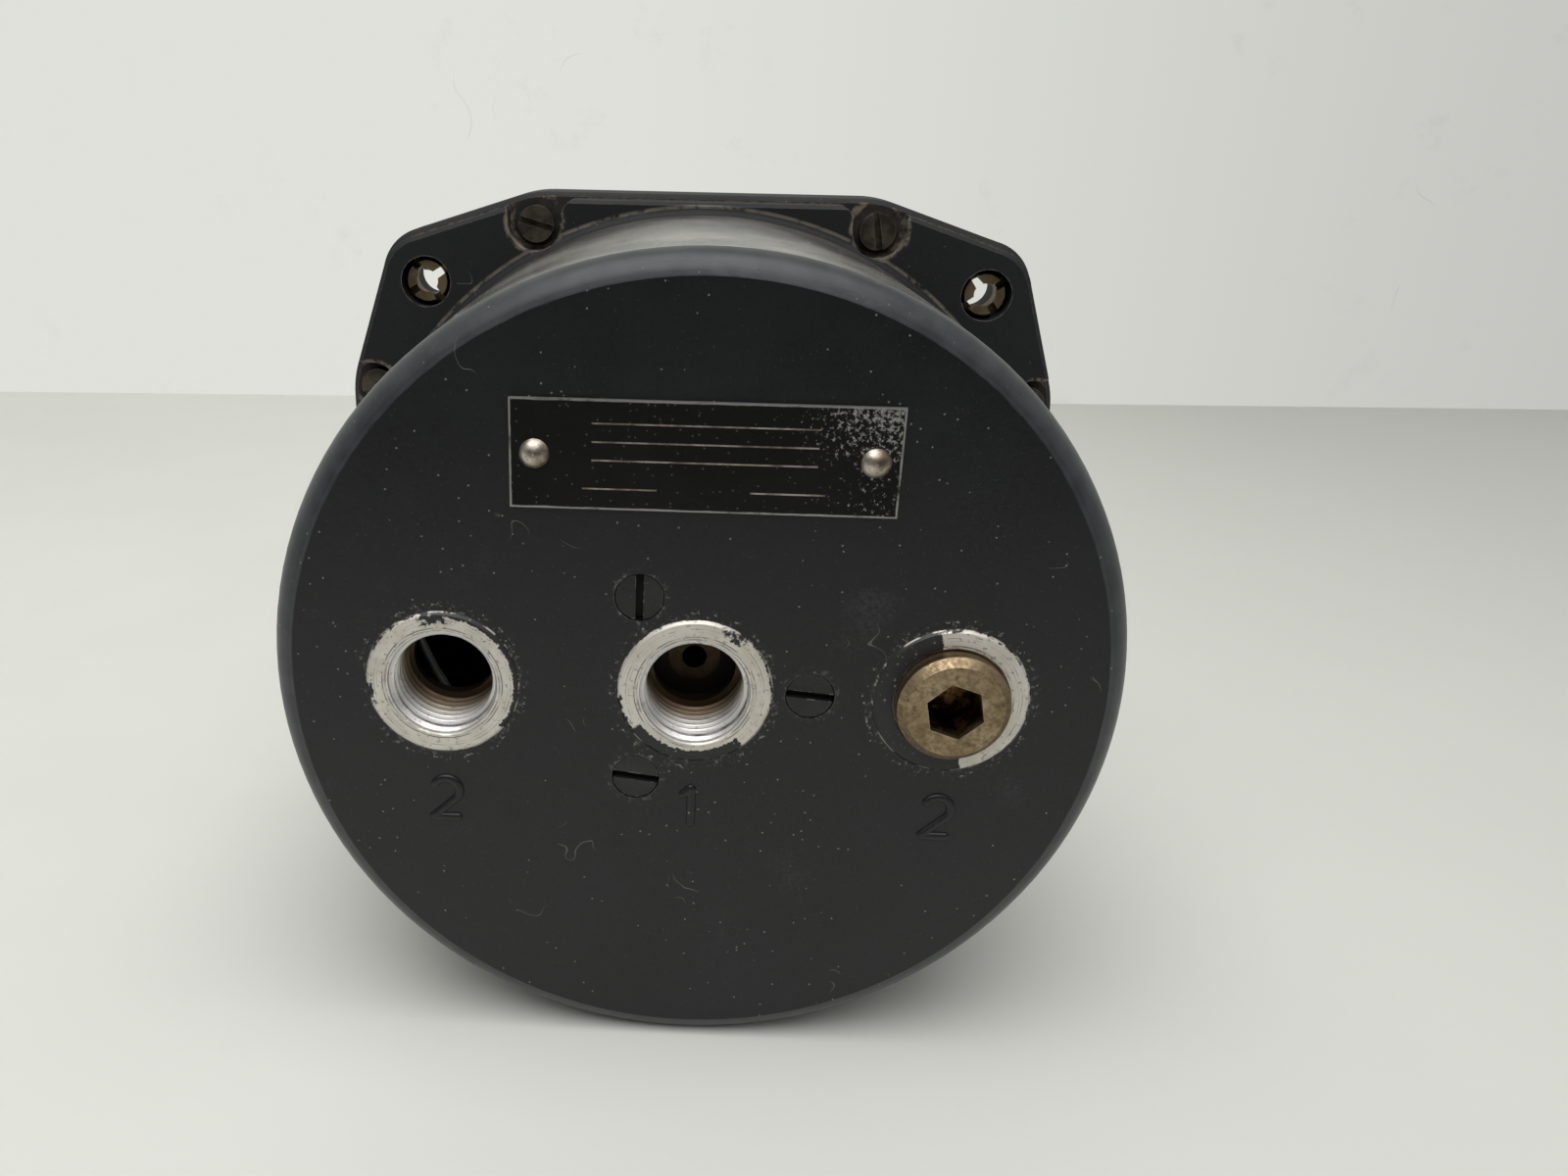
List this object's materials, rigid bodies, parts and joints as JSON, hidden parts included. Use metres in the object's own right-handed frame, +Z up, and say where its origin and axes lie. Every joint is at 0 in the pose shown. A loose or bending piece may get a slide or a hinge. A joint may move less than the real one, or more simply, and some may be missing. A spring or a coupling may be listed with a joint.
{
  "type": "airspeed indicator",
  "caption": "Panel airspeed indicator: round moulded case with a flange, threaded pitot and static ports, and a geared diaphragm movement behind a glazed dial.",
  "frame": {"origin": "middle of the mounting hole pattern, on the bezel face that seats on the panel", "axes": "+X right and +Z up as the pilot sees the dial, +Y towards the rear and the ports"},
  "size_m": [0.0826, 0.0524, 0.0826],
  "materials": {
    "case_moulding": "satin black phenolic moulding, worn",
    "cover_glass": "clear flat glass",
    "black_rubber": "matte",
    "port_metal": "machined, with black paint left on it",
    "plug_brass": "dull machined brass",
    "insert_brass": "dull brass",
    "black_screw": "blackened",
    "nameplate_black": "black enamel, worn to metal in places",
    "rivet_metal": "bright",
    "base_metal": "cast",
    "movement_brass": "satin brass",
    "movement_steel": "polished",
    "capsule_metal": "spring copper alloy",
    "dial_black": "matte black paint",
    "pointer_ivory": "matte ivory paint"
  },
  "bodies": {
    "housing": {"case": "case_moulding", "bezel": "case_moulding", "cover_glass": "cover_glass", "glass_gasket": "black_rubber", "pitot_seal": "black_rubber", "open_static_bush": "port_metal", "pitot_bush": "port_metal", "plugged_static_bush": "port_metal", "port_plug": "plug_brass", "mounting_inserts": "insert_brass", "bezel_screws": "black_screw", "movement_screws": "black_screw", "dial_screws": "black_screw", "plate_screws": "black_screw", "nameplate": "nameplate_black", "nameplate_rivets": "rivet_metal", "movement_base": "base_metal", "base_pillars": "movement_brass", "movement_back_plate": "movement_brass", "movement_pillars": "movement_brass", "movement_front_plate": "movement_brass", "rocking_shaft_brackets": "movement_brass", "hairspring_stud": "movement_brass", "pivot_screws": "movement_steel", "bracket_screws": "movement_steel", "sector_bushes": "movement_steel", "handstaff_bushes": "movement_steel", "diaphragm_rear_half": "capsule_metal", "diaphragm_front_half": "capsule_metal", "hairspring": "capsule_metal", "dial": "dial_black"},
    "sector": {"sector_gear": "movement_brass", "sector_staff": "movement_steel"},
    "pointer_and_handstaff": {"handstaff": "movement_steel", "hairspring_collet": "movement_brass", "pointer": "pointer_ivory", "pointer_hub": "movement_brass"},
    "rocking_levers": {"rocking_shaft": "movement_steel", "lift_arm": "movement_brass", "drive_arm": "movement_brass"},
    "capsule_post": {"diaphragm_post": "movement_brass"}
  },
  "joints": [
    {"name": "sector_turn", "type": "hinge", "parent": "housing", "child": "sector", "pos_m": [0.02066, 0.018, 0.0063], "axis": [0, -1, 0], "range_deg": [0, 40], "stiffness_Nm_per_rad": 0.003, "springref_deg": -22.92},
    {"name": "pointer_turn", "type": "hinge", "parent": "housing", "child": "pointer_and_handstaff", "pos_m": [0, 0.018, 0], "axis": [0, 1, 0], "range_deg": [0, 320], "deforming": ["hairspring"]},
    {"name": "rocking_shaft_turn", "type": "hinge", "parent": "housing", "child": "rocking_levers", "pos_m": [0.01, 0.02951, 0.005], "axis": [-1, 0, 0], "range_deg": [0, 20]},
    {"name": "diaphragm_lift", "type": "slide", "parent": "housing", "child": "capsule_post", "axis": [0, -1, 0], "range_m": [0, 0.00175], "deforming": ["diaphragm_front_half"]}
  ],
  "couplings": [
    {"joint": "pointer_turn", "follows": "sector_turn", "ratio": 8},
    {"joint": "rocking_shaft_turn", "follows": "sector_turn", "ratio": 0.5},
    {"joint": "diaphragm_lift", "follows": "sector_turn", "m_per_rad": 0.0025}
  ]
}
